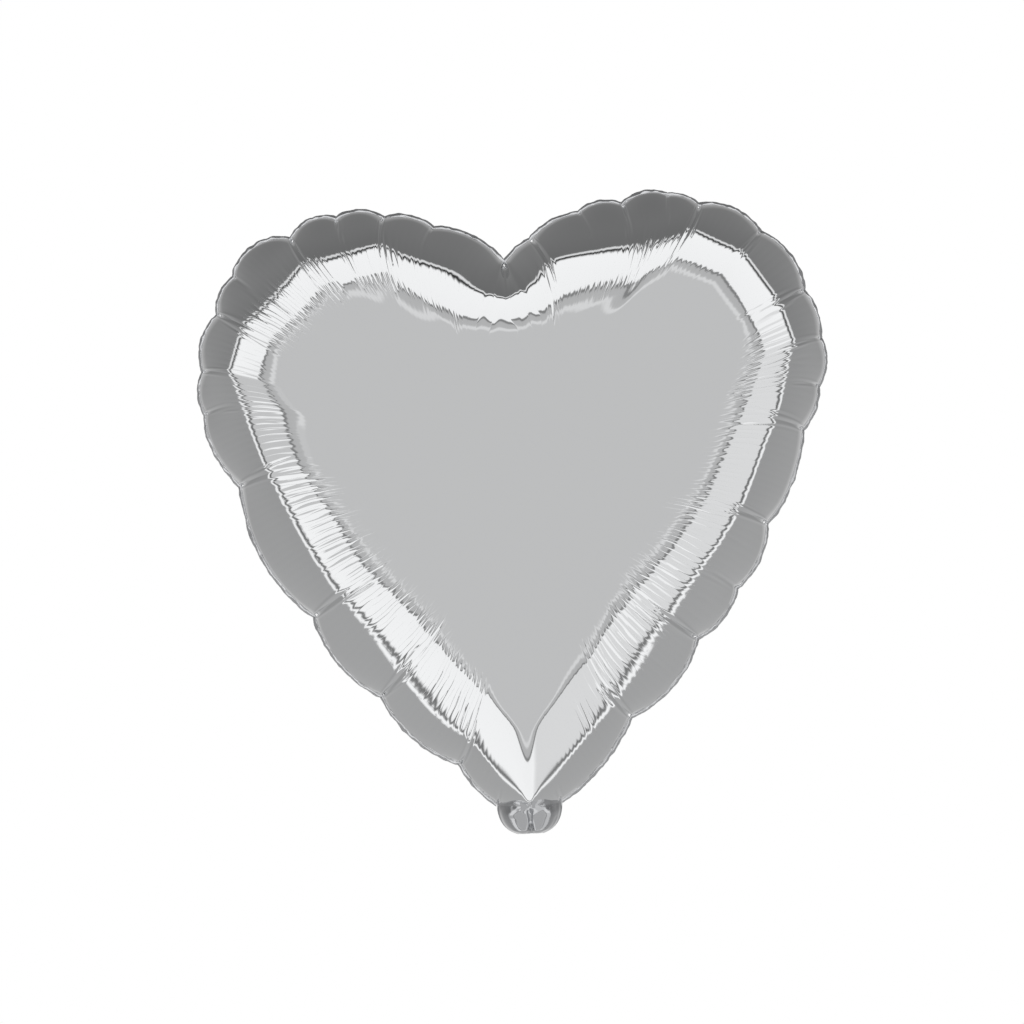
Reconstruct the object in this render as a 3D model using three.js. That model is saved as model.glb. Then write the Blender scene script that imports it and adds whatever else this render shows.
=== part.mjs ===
// Heart-shaped foil balloon, inflated, with its flat filling tail folded up behind it.
// Millimetres. +Z up, the front panel faces -Y, +X is to the viewer's right.
// The origin is the middle of the neck, where the ribbon is tied.
import * as THREE from 'three';

// Driving dimensions of the inflated envelope
const halfWidth = 187;
const widestHeight = 255;
const lobeTopHeight = 361;
const lobeTopOffset = 88;
const notchHeight = 319;
const halfDepth = 88;
const neckHalfWidth = 19;
const neckTopHeight = 5;

// The film is 0.03 mm thick on the real balloon, and is drawn thicker to be a usable solid
const panelThickness = 0.8;
const plyThickness = 0.6;
const valveThickness = 0.4;
const filmGap = 0.3;
const weldHalfThickness = 0.7;

// The welded margin and its scallops, which the gathering pleats pull in
const marginWidth = 5;
const scallopCount = 22;
const scallopDepth = 4;
const columnsPerScallop = 4;
const neckColumns = 4;

// The dome: distance from the seam at which it is full depth, and the height of its taper
const shoulderReach = 110;
const taperHeight = 190;
const pointDepthRatio = 0.12;
const domeCentreHeight = 190;
const domeRings = [0.03, 0.09, 0.18, 0.3, 0.46, 0.68];

// The neck, folded at its lower edge
const neckBottomHeight = -9;
const neckWeldWidth = 2;

// The filling tail, which turns on the crease under the neck
const creaseDepth = 2.4;
const creaseHeight = -10;
const tailLean = THREE.MathUtils.degToRad(33);
const tailStart = 1;
const tailLength = 62;
const tailHalfWidth = 17;
const tailCreaseHalfWidth = 8;
const tailShoulder = 22;
const tailCornerRadius = 6;
const tailWeldWidth = 3;
const valveInletLength = 54;

// The one-way valve: a flat sleeve of two thin films inside the neck and the point
const valveMouthTop = 10.5;
const valveMouthBottom = -8;
const sleeveBottom = 11.4;
const sleeveTop = 96;
const sleeveHalfWidth = 12;
const sleeveWeldWidth = 1.6;
const valveFilmDepth = (filmGap + valveThickness) / 2;

const foil = { color: 0xc4c6c8, roughness: 0.12, metalness: 1.0 };
const weldedFoil = { color: 0xb2b4b7, roughness: 0.3, metalness: 0.9 };
const clearFilm = { color: 0xe6eaec, roughness: 0.35, metalness: 0.0 };

function makeMesh(name, geometry, finish) {
  const mesh = new THREE.Mesh(geometry, new THREE.MeshStandardMaterial(finish));
  mesh.name = name;
  return mesh;
}

// Half of the inflated outline, from the neck's corner up the right side to the notch
function makeHalfOutline() {
  const path = new THREE.Path();
  path.moveTo(neckHalfWidth, neckTopHeight);
  path.bezierCurveTo(77, 61, 136, 124, 158, 179);
  path.bezierCurveTo(171, 211, halfWidth, 228, halfWidth, widestHeight);
  path.bezierCurveTo(halfWidth, 305, 140, lobeTopHeight, lobeTopOffset, lobeTopHeight);
  path.bezierCurveTo(56, lobeTopHeight, 18, 340, 0, notchHeight);
  return path;
}

// The whole outline as columns: each has its mean place on the seam, its inward normal,
// and how far the nearest pleat pulls it in
function makeColumns() {
  const half = makeHalfOutline().getSpacedPoints((scallopCount * columnsPerScallop) / 2);
  const left = half.slice(0, -1).reverse().map((p) => new THREE.Vector2(-p.x, p.y));
  const seam = [...half, ...left];
  const places = seam.map((p, i) => {
    const phase = (Math.PI * i) / columnsPerScallop;
    return { place: p, pull: scallopDepth * (1 - Math.abs(Math.sin(phase))) };
  });
  for (let i = 1; i < neckColumns; i += 1) {
    const x = THREE.MathUtils.lerp(-neckHalfWidth, neckHalfWidth, i / neckColumns);
    places.push({ place: new THREE.Vector2(x, neckTopHeight), pull: 0 });
  }
  return places.map((column, i) => {
    const before = places[(i + places.length - 1) % places.length].place;
    const after = places[(i + 1) % places.length].place;
    const along = after.clone().sub(before).normalize();
    return { ...column, inward: new THREE.Vector2(-along.y, along.x) };
  });
}

const columns = makeColumns();
const seamEdge = columns.map((c) => c.place.clone().addScaledVector(c.inward, c.pull));
const domeEdge = columns.map((c) => c.place.clone().addScaledVector(c.inward, c.pull + marginWidth));

function distanceToEdge(point) {
  const segment = new THREE.Line3();
  const nearest = new THREE.Vector3();
  const from = new THREE.Vector3(point.x, point.y, 0);
  let best = Infinity;
  for (let i = 0; i < domeEdge.length; i += 1) {
    const next = domeEdge[(i + 1) % domeEdge.length];
    segment.start.set(domeEdge[i].x, domeEdge[i].y, 0);
    segment.end.set(next.x, next.y, 0);
    segment.closestPointToPoint(from, true, nearest);
    best = Math.min(best, nearest.distanceTo(from));
  }
  return best;
}

// How far the film stands in front of its margin: a round shoulder that
// flattens into the face, and eases down to the heart's point
function domeDepth(point) {
  const reach = Math.min(distanceToEdge(point) / shoulderReach, 1);
  const climb = THREE.MathUtils.clamp((point.y - neckTopHeight) / taperHeight, 0, 1);
  const taper = THREE.MathUtils.lerp(pointDepthRatio, 1, Math.sin((Math.PI / 2) * climb));
  return halfDepth * Math.sqrt(1 - (1 - reach) ** 2) * taper;
}

// One panel's outer surface as rings of points, from the margin's edge to the middle
function makePanelSurface() {
  const marginDepth = weldHalfThickness + filmGap + panelThickness;
  const centre = new THREE.Vector2(0, domeCentreHeight);
  const rings = [
    seamEdge.map((p) => new THREE.Vector3(p.x, marginDepth, p.y)),
    domeEdge.map((p) => new THREE.Vector3(p.x, marginDepth, p.y)),
  ];
  for (const fraction of domeRings) {
    rings.push(domeEdge.map((p) => {
      const inner = p.clone().lerp(centre, fraction);
      return new THREE.Vector3(inner.x, marginDepth + domeDepth(inner), inner.y);
    }));
  }
  return { rings, middle: new THREE.Vector3(0, marginDepth + domeDepth(centre), domeCentreHeight) };
}

function makePanel(name, side) {
  const { rings, middle } = makePanelSurface();
  const count = seamEdge.length;
  const outer = [...rings.flat(), middle];
  const faces = [];
  for (let r = 0; r < rings.length - 1; r += 1) {
    for (let i = 0; i < count; i += 1) {
      const a = r * count + i;
      const b = r * count + ((i + 1) % count);
      faces.push([a, b, b + count], [a, b + count, a + count]);
    }
  }
  const lastRing = (rings.length - 1) * count;
  for (let i = 0; i < count; i += 1) {
    faces.push([lastRing + i, lastRing + ((i + 1) % count), outer.length - 1]);
  }

  // The inner surface follows the outer one, a film thickness inside it
  const skin = new THREE.BufferGeometry();
  skin.setAttribute('position', new THREE.Float32BufferAttribute(outer.flatMap((p) => p.toArray()), 3));
  skin.setIndex(faces.flat());
  skin.computeVertexNormals();
  const normals = skin.getAttribute('normal');
  const outwards = new THREE.Vector3().fromBufferAttribute(normals, outer.length - 1).y > 0 ? 1 : -1;
  const inner = outer.map((p, i) => {
    if (i < count) return new THREE.Vector3(p.x, p.y - panelThickness, p.z);
    const normal = new THREE.Vector3().fromBufferAttribute(normals, i);
    return p.clone().addScaledVector(normal, -outwards * panelThickness);
  });
  const points = [...outer, ...inner];
  const shift = outer.length;
  const walls = faces.map(([a, b, c]) => [a + shift, c + shift, b + shift]);
  for (let i = 0; i < count; i += 1) {
    const next = (i + 1) % count;
    faces.push([i, i + shift, next + shift], [i, next + shift, next]);
  }
  const all = [...faces, ...walls];
  const turned = outwards * side < 0;
  const geometry = new THREE.BufferGeometry();
  const sided = points.flatMap((p) => [p.x, side * p.y, p.z]);
  geometry.setAttribute('position', new THREE.Float32BufferAttribute(sided, 3));
  geometry.setIndex(all.flatMap(([a, b, c]) => (turned ? [a, c, b] : [a, b, c])));
  return makeMesh(name, geometry, foil);
}

// A flat piece cut from its outline in X and Z, centred on a depth and stood up in the X-Z plane
function makeFlat(name, shape, depth, thickness, finish) {
  const options = { depth: thickness, bevelEnabled: false, curveSegments: 5 };
  const geometry = new THREE.ExtrudeGeometry(shape, options);
  geometry.rotateX(Math.PI / 2);
  geometry.translate(0, depth + thickness / 2, 0);
  return makeMesh(name, geometry, finish);
}

// A closed outline from its right half
function makeShape(right) {
  const left = right.slice().reverse().map(([x, z]) => [-x, z]);
  return new THREE.Shape([...right, ...left].map(([x, z]) => new THREE.Vector2(x, z)));
}

// A strip between an outer line and the same line moved towards the middle
function makeStripShape(line, width, side) {
  const inner = line.slice().reverse().map(([x, z]) => [x - width, z]);
  const points = [...line, ...inner].map(([x, z]) => new THREE.Vector2(side * x, z));
  return new THREE.Shape(points);
}

// The fused margin is one strip round the heart, open at the neck
function makePerimeterWeld() {
  const last = columns.length - neckColumns;
  const outerLine = seamEdge.slice(0, last + 1);
  const innerLine = domeEdge.slice(0, last + 1);
  const shape = new THREE.Shape([...outerLine, ...innerLine.reverse()]);
  return makeFlat('perimeter_weld', shape, 0, 2 * weldHalfThickness, weldedFoil);
}

// The neck's edge line, from the envelope down to the crease, rounded by the fold
function makeNeckEdge() {
  const edge = new THREE.QuadraticBezierCurve(
    new THREE.Vector2(neckHalfWidth, neckTopHeight - filmGap),
    new THREE.Vector2(neckHalfWidth - 2, neckBottomHeight + 3),
    new THREE.Vector2(neckHalfWidth / 2, neckBottomHeight),
  );
  return edge.getPoints(5).map((p) => [p.x, p.y]);
}

function makeNeck() {
  const edge = makeNeckEdge();
  const depth = weldHalfThickness + filmGap + plyThickness / 2;
  return [
    makeFlat('neck_front_ply', makeShape(edge), -depth, plyThickness, foil),
    makeFlat('neck_back_ply', makeShape(edge), depth, plyThickness, foil),
    ...[['neck_weld_left', -1], ['neck_weld_right', 1]].map(([name, side]) => makeFlat(
      name, makeStripShape(edge, neckWeldWidth, side), 0, 2 * weldHalfThickness, weldedFoil,
    )),
  ];
}

// The tail's edge line along its own length, before it is leaned back
function makeTailEdge() {
  const end = tailStart + tailLength;
  const corner = new THREE.Path();
  corner.moveTo(tailHalfWidth, end - tailCornerRadius);
  corner.quadraticCurveTo(tailHalfWidth, end, tailHalfWidth - tailCornerRadius, end);
  return [
    [tailCreaseHalfWidth, tailStart],
    [tailHalfWidth - 3, tailStart + tailShoulder * 0.5],
    [tailHalfWidth, tailStart + tailShoulder],
    ...corner.getPoints(4).map((p) => [p.x, p.y]),
  ];
}

function makeTail() {
  const tail = new THREE.Group();
  const edge = makeTailEdge();
  const depth = weldHalfThickness + filmGap + plyThickness / 2;
  tail.add(makeFlat('tail_front_ply', makeShape(edge), depth, plyThickness, foil));
  tail.add(makeFlat('tail_back_ply', makeShape(edge), -depth, plyThickness, foil));
  const sideLine = edge.slice(0, 4);
  for (const [name, side] of [['tail_weld_left', -1], ['tail_weld_right', 1]]) {
    const shape = makeStripShape(sideLine, tailWeldWidth, side);
    tail.add(makeFlat(name, shape, 0, 2 * weldHalfThickness, weldedFoil));
  }
  const inletEdge = [
    [tailCreaseHalfWidth - tailWeldWidth - 1, tailStart + 1],
    [sleeveHalfWidth - 1, tailStart + tailShoulder],
    [sleeveHalfWidth - 1, tailStart + valveInletLength],
  ];
  tail.add(...makeValveFilms('valve_inlet', inletEdge, 1));
  tail.position.set(0, creaseDepth, creaseHeight);
  tail.rotation.x = -tailLean;
  return tail;
}

// Two facing valve films of one outline, either side of the middle plane
function makeValveFilms(name, edge, frontSide) {
  return [['front', frontSide], ['back', -frontSide]].map(([face, side]) => makeFlat(
    `${name}_${face}_film`, makeShape(edge), side * valveFilmDepth, valveThickness, clearFilm,
  ));
}

// The valve's mouth is held between the neck's plies, and its sleeve stands free above it
function makeValve() {
  const valve = new THREE.Group();
  const mouthEdge = [
    [sleeveHalfWidth / 2, valveMouthBottom],
    [sleeveHalfWidth, neckTopHeight],
    [sleeveHalfWidth, valveMouthTop],
  ];
  valve.add(...makeValveFilms('valve_mouth', mouthEdge, -1));
  const filmHalfWidth = sleeveHalfWidth - sleeveWeldWidth - filmGap;
  const filmEdge = [[filmHalfWidth, sleeveBottom], [filmHalfWidth, sleeveTop]];
  valve.add(...makeValveFilms('valve_sleeve', filmEdge, -1));
  const weldLine = [[sleeveHalfWidth, sleeveBottom], [sleeveHalfWidth, sleeveTop]];
  for (const [name, side] of [['valve_sleeve_weld_left', -1], ['valve_sleeve_weld_right', 1]]) {
    const shape = makeStripShape(weldLine, sleeveWeldWidth, side);
    valve.add(makeFlat(name, shape, 0, 2 * valveFilmDepth + valveThickness, clearFilm));
  }
  return valve;
}

const balloon = new THREE.Group();
balloon.add(makePanel('front_foil_panel', -1), makePanel('back_foil_panel', 1));
balloon.add(makePerimeterWeld(), ...makeNeck(), makeTail(), makeValve());

export default balloon;
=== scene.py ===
import math

import bpy
import numpy as np
from mathutils import Matrix, Vector


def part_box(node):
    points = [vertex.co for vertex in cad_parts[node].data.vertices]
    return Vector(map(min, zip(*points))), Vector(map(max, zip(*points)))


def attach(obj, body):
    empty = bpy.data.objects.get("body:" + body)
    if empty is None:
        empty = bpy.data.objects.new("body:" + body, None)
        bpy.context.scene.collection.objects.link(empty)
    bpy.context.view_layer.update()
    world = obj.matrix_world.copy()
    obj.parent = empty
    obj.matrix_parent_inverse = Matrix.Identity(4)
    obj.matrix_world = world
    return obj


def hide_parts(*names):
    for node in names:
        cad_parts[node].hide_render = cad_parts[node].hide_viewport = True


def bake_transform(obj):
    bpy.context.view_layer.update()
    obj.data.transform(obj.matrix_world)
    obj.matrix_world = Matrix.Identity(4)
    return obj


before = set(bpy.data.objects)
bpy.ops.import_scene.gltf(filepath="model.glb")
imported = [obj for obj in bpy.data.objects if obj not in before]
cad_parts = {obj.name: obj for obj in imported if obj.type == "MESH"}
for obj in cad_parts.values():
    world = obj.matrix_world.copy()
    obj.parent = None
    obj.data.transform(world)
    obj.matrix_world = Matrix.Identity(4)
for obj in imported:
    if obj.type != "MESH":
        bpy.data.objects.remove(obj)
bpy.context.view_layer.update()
mm = 0.001
scene = bpy.context.scene

view = {
    "distance": 2.6,
    "frameWidth": 0.5935,                 # how wide the view is, at the seam's plane
    "target": (-2.2 * mm, 0, 174.5 * mm),
    "roll": math.radians(-2.7),           # the heart leans to the left
    "sensor": 36.0,
}


def makeCamera():
    data = bpy.data.cameras.new("photoCamera")
    data.sensor_width = view["sensor"]
    data.lens = view["sensor"] * view["distance"] / view["frameWidth"]
    camera = bpy.data.objects.new("photoCamera", data)
    scene.collection.objects.link(camera)
    place = Vector(view["target"]) + Vector((0, -view["distance"], 0))
    turn = Matrix.Rotation(math.pi / 2, 4, "X") @ Matrix.Rotation(view["roll"], 4, "Z")
    camera.matrix_world = Matrix.Translation(place) @ turn
    scene.camera = camera


makeCamera()
print("camera set")

seam = {
    "neckHalfWidth": 19 * mm,
    "neckTop": 5 * mm,
    "widestHeight": 255 * mm,
    "lobeOffset": 88 * mm,
    "notchHeight": 319 * mm,
    "step": 0.25 * mm,        # how finely the loop is worked out
    "mainPleatReach": 30,     # a pleat this long (mm) ends a flat facet
    "facetBulge": 0.008,      # how much of its length a facet bows out
    # gathering pleats, from the neck's right corner anticlockwise back to its left corner: place
    # along the seam, seam offset, offset of the scallop after it, groove depth, reach; all in mm
    "pleats": [
        (0.000, 0.0, 2.6, 2.0, 22), (0.057, -3.7, 3.6, 3.0, 40), (0.110, -2.7, 2.8, 3.0, 62),
        (0.143, -0.5, 2.4, 0.8, 24), (0.180, -3.8, 1.0, 3.0, 48), (0.232, -4.9, -2.4, 2.6, 42),
        (0.257, -3.9, -0.6, 1.2, 20), (0.283, -2.6, -0.4, 1.2, 30), (0.310, -2.6, 2.0, 3.2, 44),
        (0.349, -1.7, 0.3, 1.6, 31), (0.385, -6.3, -3.4, 3.0, 44), (0.4035, -4.1, -2.2, 0.8, 16),
        (0.429, -7.1, -1.5, 1.6, 22), (0.4526, -2.6, 0.8, 0.7, 18), (0.482, -0.6, 1.2, 3.0, 60),
        (0.500, 0.4, 1.0, 3.4, 62), (0.542, -5.2, -3.6, 1.0, 18), (0.569, -8.3, -5.1, 2.4, 34),
        (0.5965, -9.5, -5.4, 1.0, 20), (0.626, -10.8, -0.4, 3.4, 50), (0.664, -4.0, -2.3, 1.0, 16),
        (0.686, -6.8, -3.1, 3.2, 46), (0.719, -6.6, -3.8, 2.2, 30), (0.743, -5.5, -1.8, 1.2, 20),
        (0.786, -5.9, 2.4, 2.8, 38), (0.864, -2.6, 4.6, 3.2, 56), (0.918, -0.4, 4.2, 3.2, 54),
        (0.971, -3.2, 0.8, 2.6, 30), (1.000, 0.0, 0.0, 2.0, 20),
    ],
    "flangeShown": 1.6 * mm,  # how much of the crinkled margin stands outside the dome
}


def bezier(points, count):
    t = np.linspace(0, 1, count, endpoint=False)[:, None]
    a, b, c, d = (np.array(p, float) for p in points)
    return (1 - t) ** 3 * a + 3 * (1 - t) ** 2 * t * b + 3 * (1 - t) * t * t * c + t ** 3 * d


def blurRound(values, spread):
    # Gaussian blur round a closed loop, spread in steps; one spread for all
    reach = max(1, int(3 * spread))
    kernel = np.exp(-0.5 * (np.arange(-reach, reach + 1) / spread) ** 2)
    kernel /= kernel.sum()
    rows = values if values.ndim == 2 else values[:, None]
    wrapped = np.concatenate([rows[-reach:], rows, rows[:reach]])
    result = np.stack([np.convolve(wrapped[:, k], kernel, "valid") for k in range(rows.shape[1])], 1)
    return result if values.ndim == 2 else result[:, 0]


def smoothStep(low, high, value):
    t = np.clip((value - low) / (high - low), 0, 1)
    return t * t * (3 - 2 * t)


def makeSeam():
    # The mean seam as a closed loop of evenly spaced places, with the inward direction at each
    wide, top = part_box("perimeter_weld")[1][0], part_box("perimeter_weld")[1][2]
    corner = (seam["neckHalfWidth"], seam["neckTop"])
    hip = (158 * mm, 179 * mm)
    widest = (wide, seam["widestHeight"])
    crown = (seam["lobeOffset"], top)
    notch = (0, seam["notchHeight"])
    half = np.vstack([
        bezier([corner, (77 * mm, 61 * mm), (136 * mm, 124 * mm), hip], 500),
        bezier([hip, (171 * mm, 211 * mm), (wide, 228 * mm), widest], 300),
        bezier([widest, (wide, 305 * mm), (140 * mm, top), crown], 500),
        bezier([crown, (56 * mm, top), (18 * mm, 340 * mm), notch], 400),
        [notch],
    ])
    line = np.vstack([half, half[::-1][1:] * [-1, 1]])
    along = np.r_[0, np.cumsum(np.hypot(*np.diff(line, axis=0).T))]
    length = along[-1]
    steps = np.arange(0, length, seam["step"])
    sides = np.stack([np.interp(steps, along, line[:, k]) for k in (0, 1)], 1)
    across = np.arange(-corner[0], corner[0], seam["step"])
    bottom = np.stack([across, np.full(len(across), corner[1])], 1)
    place = np.vstack([sides, bottom])
    travel = np.roll(place, -1, axis=0) - np.roll(place, 1, axis=0)
    travel /= np.linalg.norm(travel, axis=1)[:, None]
    inward = blurRound(np.stack([-travel[:, 1], travel[:, 0]], 1), 7 * mm / seam["step"])
    inward /= np.linalg.norm(inward, axis=1)[:, None]
    return {"place": place, "inward": inward, "along": np.arange(len(place)) * seam["step"],
            "length": length, "sides": sides}


def pleatOffsets(loop):
    # In-plane offsets at each step round the loop: the scalloped edge, and the flat facets behind it
    rows = np.array(seam["pleats"])
    share = loop["along"][: len(loop["sides"])] / loop["length"]
    rest = np.zeros(len(loop["place"]) - len(share))

    def chords(lines, values):
        k = np.clip(np.searchsorted(lines, share, side="right") - 1, 0, len(lines) - 2)
        t = (share - lines[k]) / (lines[k + 1] - lines[k])
        return k, t, values[k] * (1 - t) + values[k + 1] * t

    k, t, chord = chords(rows[:, 0], rows[:, 1])
    scallop = chord + (rows[k, 2] - (rows[k, 1] + rows[k + 1, 1]) / 2) * (4 * t * (1 - t)) ** 0.8
    main = rows[rows[:, 4] >= seam["mainPleatReach"]]
    main = np.vstack([main, rows[-1]])
    main[0] = rows[0]
    k, t, chord = chords(main[:, 0], main[:, 1])
    cusps = np.stack([np.interp(main[:, 0], share, loop["sides"][:, n]) for n in (0, 1)], 1)
    straight = cusps[k] * (1 - t)[:, None] + cusps[k + 1] * t[:, None]
    cut = ((loop["sides"] - straight) * -loop["inward"][: len(share)]).sum(1) / mm
    span = np.linalg.norm(cusps[k + 1] - cusps[k], axis=1) / mm
    facet = chord - cut + seam["facetBulge"] * span * 4 * t * (1 - t)
    tip = chords(main[:, 0], main[:, 4])[2]
    return (np.concatenate([scallop, rest]) * mm, np.concatenate([facet, rest]) * mm,
            np.concatenate([tip, rest + 20]) * mm)


def makePiece(name, vertices, faces):
    mesh = bpy.data.meshes.new(name)
    mesh.from_pydata([tuple(v) for v in vertices], [], faces)
    mesh.shade_smooth()
    piece = bpy.data.objects.new(name, mesh)
    scene.collection.objects.link(piece)
    return piece


def gridFaces(rows, columns, flipped=False):
    faces = [(r * columns + c, r * columns + c + 1, (r + 1) * columns + c + 1, (r + 1) * columns + c)
             for r in range(rows - 1) for c in range(columns - 1)]
    return [face[::-1] for face in faces] if flipped else faces


panel = {
    "columns": 2048,            # round the heart, closer together at the pleats
    "rows": 84,
    "coarseRows": ((46, 2), (62, 4)),   # from this row on, columns are merged by so many
    "middle": (0, 190 * mm),
    "lead": 55 * mm,            # how far a column runs square to the seam
    "neckLead": 13 * mm,
    "gentleHeight": (150 * mm, 60 * mm),   # lower down, columns turn gently round the neck's corners
    "detailRoom": 1.8 * mm,     # kept between the smooth dome and the part's depth, for the creases
    "faceFlatness": 2.6,
    "taperHeight": 230 * mm,
    "taperCurve": 3.0,
    "flankHeight": (30 * mm, 150 * mm),  # below the first the flank angles hold, above the second not
    # angle of the flank to the face, in degrees, against mm in from the seam
    "flank": [(0, 82), (3, 68), (8, 58), (14, 51), (18, 47.6), (42, 41), (46, 29), (60, 14), (90, 8),
              (200, 2)],
    "pointDepthRatio": 0.14,
    "virtualTip": -12 * mm,     # where the two lower sides would meet
    "seamGap": 0.15 * mm,
    "scallopFade": 4 * mm,
    "facetFade": (50 * mm, 105 * mm),
    "rippleSpacing": 4.8 * mm,
    # zones of fine gathers: from, to along the seam, height in mm, where they start and end (mm in)
    "rippleZones": [
        (0.03, 0.057, 0.12, 14, 44), (0.057, 0.11, 0.24, 17, 58), (0.11, 0.18, 0.24, 19, 70),
        (0.18, 0.30, 0.13, 20, 60), (0.31, 0.39, 0.05, 18, 50), (0.39, 0.48, 0.08, 18, 50),
        (0.48, 0.505, 0.24, 16, 60), (0.505, 0.56, 0.07, 18, 52), (0.56, 0.60, 0.13, 18, 52),
        (0.615, 0.69, 0.32, 14, 60), (0.69, 0.79, 0.05, 14, 50), (0.79, 0.93, 0.27, 21, 68),
        (0.93, 0.97, 0.26, 15, 56),
    ],
    "waviness": 0.12 * mm,
}


def smoothDistance(points, outline, step, power):
    # Distance to the outline that stays smooth everywhere inside it; a higher power rounds it less
    total = np.zeros(len(points))
    for place, size in zip(outline, step):
        square = (points[:, 0] - place[0]) ** 2 + (points[:, 1] - place[1]) ** 2 + 1e-9
        total += size * 1e-3 * (square * 1e4) ** (-power / 2)
    whole = math.sqrt(math.pi) * math.gamma((power - 1) / 2) / math.gamma(power / 2)
    return (total * 1e3 * 1e2 ** power / whole) ** (-1 / (power - 1))


def columnPlaces(loop):
    # Where the columns stand along the loop: crowded at the pleats
    along = loop["along"]
    crowd = np.full(len(along), 1.0)
    for share, _, _, _, reach in seam["pleats"]:
        if reach >= seam["mainPleatReach"] or reach == 20:
            crowd += 1.7 * np.exp(-((along - share * loop["length"]) / (5 * mm)) ** 2)
    total = np.r_[0, np.cumsum(crowd)]
    count = panel["columns"]
    return np.interp(np.arange(count) * total[-1] / count, total, np.r_[along, along[-1] + seam["step"]])


def atColumns(loop, columns, values):
    # Values worked out round the loop, read off at the columns
    rows = values if values.ndim == 2 else values[:, None]
    found = np.stack([np.interp(columns, loop["along"], rows[:, n]) for n in range(rows.shape[1])], 1)
    return found if values.ndim == 2 else found[:, 0]


def unit(vectors):
    return vectors / np.linalg.norm(vectors, axis=1)[:, None]


def makePlan(loop, columns):
    # Rows by columns in the seam's plane: a column leaves the seam squarely and bends to the middle
    place = atColumns(loop, columns, loop["place"])
    inward = unit(atColumns(loop, columns, loop["inward"]))
    aside = np.abs(loop["place"][:, 0]) / np.maximum(np.abs(loop["inward"][:, 0]), 0.05)
    lead = np.where(loop["place"][:, 1] > 0.75 * seam["notchHeight"], panel["lead"],
                    np.minimum(panel["lead"], 0.5 * aside))
    lead[len(loop["sides"]):] = panel["neckLead"]
    lead = atColumns(loop, columns, np.maximum(blurRound(lead, 20 * mm / seam["step"]), 12 * mm))
    low = smoothStep(*panel["gentleHeight"], place[:, 1])[:, None]
    gentle = atColumns(loop, columns, blurRound(loop["inward"], 16 * mm / seam["step"]))
    bend = place + unit(inward * (1 - low) + gentle * low) * lead[:, None]
    t = (1 - np.cos(np.linspace(0, math.pi / 2, panel["rows"])))[:, None, None]
    flat = (1 - t) ** 2 * place + 2 * t * (1 - t) * bend + t ** 2 * np.array(panel["middle"])
    return flat, inward, np.linalg.norm(flat - place, axis=2)


def lowerSides():
    # The two sides run on from the neck's corners to where they would meet
    corner = np.array([seam["neckHalfWidth"], seam["neckTop"]])
    tip = np.array([0, panel["virtualTip"]])
    share = np.linspace(0, 1, 60)[:, None]
    return np.vstack([tip + (corner - tip) * share, tip + (corner * [-1, 1] - tip) * share])


def seamOutline(loop, every):
    # The seam as points, and the length that each stands for
    sides, lower = loop["sides"][::every], lowerSides()
    size = np.linalg.norm(lower[59] - lower[0]) / 60
    sizes = np.r_[np.full(len(sides), every * seam["step"]), np.full(len(lower), size)]
    return np.vstack([sides, lower]), sizes


def makeRoom(loop, columns, flat, reach):
    # How far in from the seam each point is: exact near the seam, smoothed further in
    far = smoothDistance(flat.reshape(-1, 2), *seamOutline(loop, 8), 4).reshape(reach.shape)
    atNeck = np.minimum(columns, np.abs(loop["length"] - columns)) < 150 * mm
    atNeck |= columns > loop["length"]
    low = loop["sides"][loop["sides"][:, 1] < 200 * mm]
    edge = np.vstack([low[::3], lowerSides()])
    near = reach.copy()
    near[:, atNeck] = np.sqrt(((flat[:, atNeck][:, :, None] - edge[None, None]) ** 2).sum(3).min(2))
    blend = smoothStep(4 * mm, 25 * mm, near)
    return near * (1 - blend) + far * blend


def smoothDome(flat, inside):
    rounded = np.sqrt(1 - (1 - np.clip(inside / inside.max(), 0, 1)) ** panel["faceFlatness"])
    climb = np.clip((flat[:, :, 1] - seam["neckTop"]) / panel["taperHeight"], 0, 1)
    taper = 1 - (1 - panel["pointDepthRatio"]) * (1 - climb) ** panel["taperCurve"]
    full = -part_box("front_foil_panel")[0][1] - panel["detailRoom"]
    return full * rounded * taper


def slimBack(flat, inside, depth, centre):
    # Behind, the section near the point is a slim lens, which leaves room for the folded tail
    heights = flat[:, centre, 1]
    centreDepth = np.interp(flat[:, :, 1], heights, depth[:, centre])
    centreRoom = np.interp(flat[:, :, 1], heights, inside[:, centre])
    lens = centreDepth * (1 - (1 - np.clip(inside / centreRoom, 0, 1)) ** 2)
    toDome = smoothStep(*panel["flankHeight"], flat[:, :, 1])
    return lens * (1 - toDome) + depth * toDome


def ridgedFront(loop, flat, depth):
    # In front, the two flanks rise at set angles and meet in a ridge over the neck
    flank = np.array(panel["flank"])
    steps = np.linspace(0, flank[-1, 0] * mm, 800)
    slope = np.tan(np.radians(np.interp(steps, flank[:, 0] * mm, flank[:, 1])))
    rise = np.r_[0, np.cumsum((slope[1:] + slope[:-1]) / 2 * np.diff(steps))]
    outline, sizes = seamOutline(loop, 3)
    near = outline[:, 1] < 260 * mm
    low = flat[:, :, 1] < panel["flankHeight"][1]
    close = smoothDistance(flat[low], outline[near], sizes[near], 9)
    toDome = smoothStep(*panel["flankHeight"], flat[low][:, 1])
    ridged = depth.copy()
    ridged[low] = np.interp(close, steps, rise) * (1 - toDome) + depth[low] * toDome
    return ridged


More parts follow.
